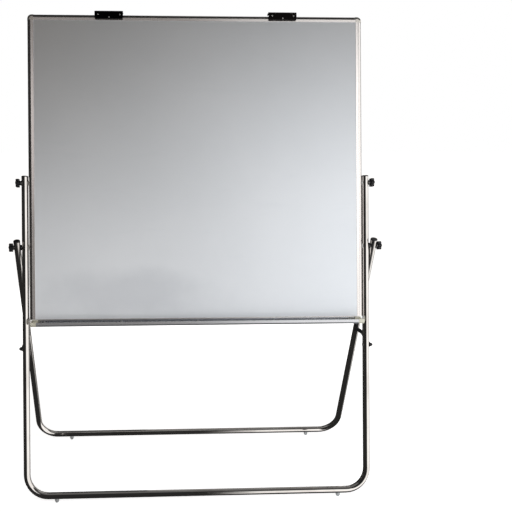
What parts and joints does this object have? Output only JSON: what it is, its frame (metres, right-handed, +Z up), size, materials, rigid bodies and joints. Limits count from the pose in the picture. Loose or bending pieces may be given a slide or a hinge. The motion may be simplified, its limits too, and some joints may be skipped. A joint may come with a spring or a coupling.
{
  "type": "folding whiteboard stand",
  "caption": "Free-standing whiteboard on a folding chromed tube stand: height-adjustable board in an aluminium frame with a pen tray, pad clips and clamp knobs",
  "frame": {"origin": "centre of the footprint at floor level, midway between the front and rear bars", "axes": "+Z up, +X to the right facing the writing surface, the board faces -Y and the folding rear legs are at +Y"},
  "size_m": [1.251, 0.4268, 1.602],
  "materials": {
    "steel_tube": "polished chrome plate on bent steel tube",
    "black_plastic": "moulded, fine grain",
    "foot_grey": "light grey, matt",
    "zinc_bolt": "bright zinc plate",
    "nylon": "natural nylon",
    "black_steel": "black stoved paint",
    "board_white": "white lacquered steel, satin gloss",
    "core_board": "honeycomb board core",
    "back_metal": "grey coated backing sheet",
    "rail_aluminium": "satin anodised extrusion",
    "corner_grey": "moulded grey plastic",
    "tray_beige": "moulded beige plastic",
    "clip_steel": "chromed spring steel",
    "clip_rubber": "black rubber pad"
  },
  "bodies": {
    "front_stand": {"front_tube": "steel_tube", "front_caps": "black_plastic", "front_feet": "foot_grey", "clamp_bolt_left": "zinc_bolt", "clamp_bolt_right": "zinc_bolt", "pivot_bolt_left": "zinc_bolt", "pivot_bolt_right": "zinc_bolt", "guide_washers": "nylon", "pivot_spacers": "black_plastic", "knob_washers": "zinc_bolt", "stay_bolts": "zinc_bolt"},
    "rear_stand": {"rear_tube": "steel_tube", "rear_caps": "black_plastic", "rear_feet": "foot_grey", "stay_lug_left": "black_steel", "stay_lug_right": "black_steel"},
    "board": {"writing_sheet": "board_white", "board_core": "core_board", "back_sheet": "back_metal", "rail_top": "rail_aluminium", "rail_bottom": "rail_aluminium", "stile_left": "rail_aluminium", "stile_right": "rail_aluminium", "corner_top_left": "corner_grey", "corner_top_right": "corner_grey", "corner_bottom_left": "corner_grey", "corner_bottom_right": "corner_grey", "tray": "rail_aluminium", "tray_cap_left": "tray_beige", "tray_cap_right": "tray_beige", "tray_screws": "zinc_bolt", "clip_base_left": "clip_steel", "clip_base_right": "clip_steel", "clip_pin_left": "zinc_bolt", "clip_pin_right": "zinc_bolt", "clip_spring_left": "zinc_bolt", "clip_spring_right": "zinc_bolt", "clip_screws": "zinc_bolt"},
    "clamp_knob_left": {"clamp_knob_left": "black_plastic"},
    "pivot_knob_left": {"pivot_knob_left": "black_plastic"},
    "rear_link_left": {"rear_link_left": "black_steel", "lug_pin_left": "zinc_bolt", "knee_rivet_left": "zinc_bolt"},
    "front_link_left": {"front_link_left": "black_steel", "stay_nut_left": "black_plastic"},
    "clip_jaw_left": {"clip_jaw_left": "clip_steel", "clip_pad_left": "clip_rubber", "clip_rivets_left": "zinc_bolt"},
    "clamp_knob_right": {"clamp_knob_right": "black_plastic"},
    "pivot_knob_right": {"pivot_knob_right": "black_plastic"},
    "rear_link_right": {"rear_link_right": "black_steel", "lug_pin_right": "zinc_bolt", "knee_rivet_right": "zinc_bolt"},
    "front_link_right": {"front_link_right": "black_steel", "stay_nut_right": "black_plastic"},
    "clip_jaw_right": {"clip_jaw_right": "clip_steel", "clip_pad_right": "clip_rubber", "clip_rivets_right": "zinc_bolt"}
  },
  "joints": [
    {"name": "board_height", "type": "slide", "parent": "front_stand", "child": "board", "axis": [0, 0.2079, 0.9781], "range_m": [-0.49, 0.16]},
    {"name": "stand_fold", "type": "hinge", "parent": "front_stand", "child": "rear_stand", "pos_m": [0, -0.03008, 0.83388], "axis": [-1, 0, 0], "range_deg": [0, 20]},
    {"name": "clamp_knob_left_turn", "type": "hinge", "parent": "front_stand", "child": "clamp_knob_left", "pos_m": [-0.595, 0.01441, 1.04321], "axis": [1, 0, 0], "continuous": true},
    {"name": "pivot_knob_left_turn", "type": "hinge", "parent": "front_stand", "child": "pivot_knob_left", "pos_m": [-0.62, -0.03008, 0.83388], "axis": [1, 0, 0], "continuous": true},
    {"name": "rear_link_left_turn", "type": "hinge", "parent": "rear_stand", "child": "rear_link_left", "pos_m": [-0.588, 0.04275, 0.51459], "axis": [-1, 0, 0], "range_deg": [0, 45.71]},
    {"name": "knee_left_turn", "type": "hinge", "parent": "rear_link_left", "child": "front_link_left", "pos_m": [-0.586, -0.02942, 0.51946], "axis": [1, 0, 0], "range_deg": [0, 140.83]},
    {"name": "clip_left_open", "type": "hinge", "parent": "board", "child": "clip_jaw_left", "pos_m": [-0.29, 0.12768, 1.59532], "axis": [-1, 0, 0], "range_deg": [0, 22], "stiffness_Nm_per_rad": 1.2, "springref_deg": -28.65},
    {"name": "clamp_knob_right_turn", "type": "hinge", "parent": "front_stand", "child": "clamp_knob_right", "pos_m": [0.595, 0.01441, 1.04321], "axis": [1, 0, 0], "continuous": true},
    {"name": "pivot_knob_right_turn", "type": "hinge", "parent": "front_stand", "child": "pivot_knob_right", "pos_m": [0.62, -0.03008, 0.83388], "axis": [1, 0, 0], "continuous": true},
    {"name": "rear_link_right_turn", "type": "hinge", "parent": "rear_stand", "child": "rear_link_right", "pos_m": [0.588, 0.04275, 0.51459], "axis": [-1, 0, 0], "range_deg": [0, 45.71]},
    {"name": "knee_right_turn", "type": "hinge", "parent": "rear_link_right", "child": "front_link_right", "pos_m": [0.586, -0.02942, 0.51946], "axis": [1, 0, 0], "range_deg": [0, 140.83]},
    {"name": "clip_right_open", "type": "hinge", "parent": "board", "child": "clip_jaw_right", "pos_m": [0.29, 0.12768, 1.59532], "axis": [-1, 0, 0], "range_deg": [0, 22], "stiffness_Nm_per_rad": 1.2, "springref_deg": -28.65}
  ],
  "couplings": [
    {"joint": "rear_link_left_turn", "follows": "stand_fold", "ratio": 2.2607},
    {"joint": "knee_left_turn", "follows": "stand_fold", "ratio": 7.0165},
    {"joint": "rear_link_right_turn", "follows": "stand_fold", "ratio": 2.2607},
    {"joint": "knee_right_turn", "follows": "stand_fold", "ratio": 7.0165}
  ]
}
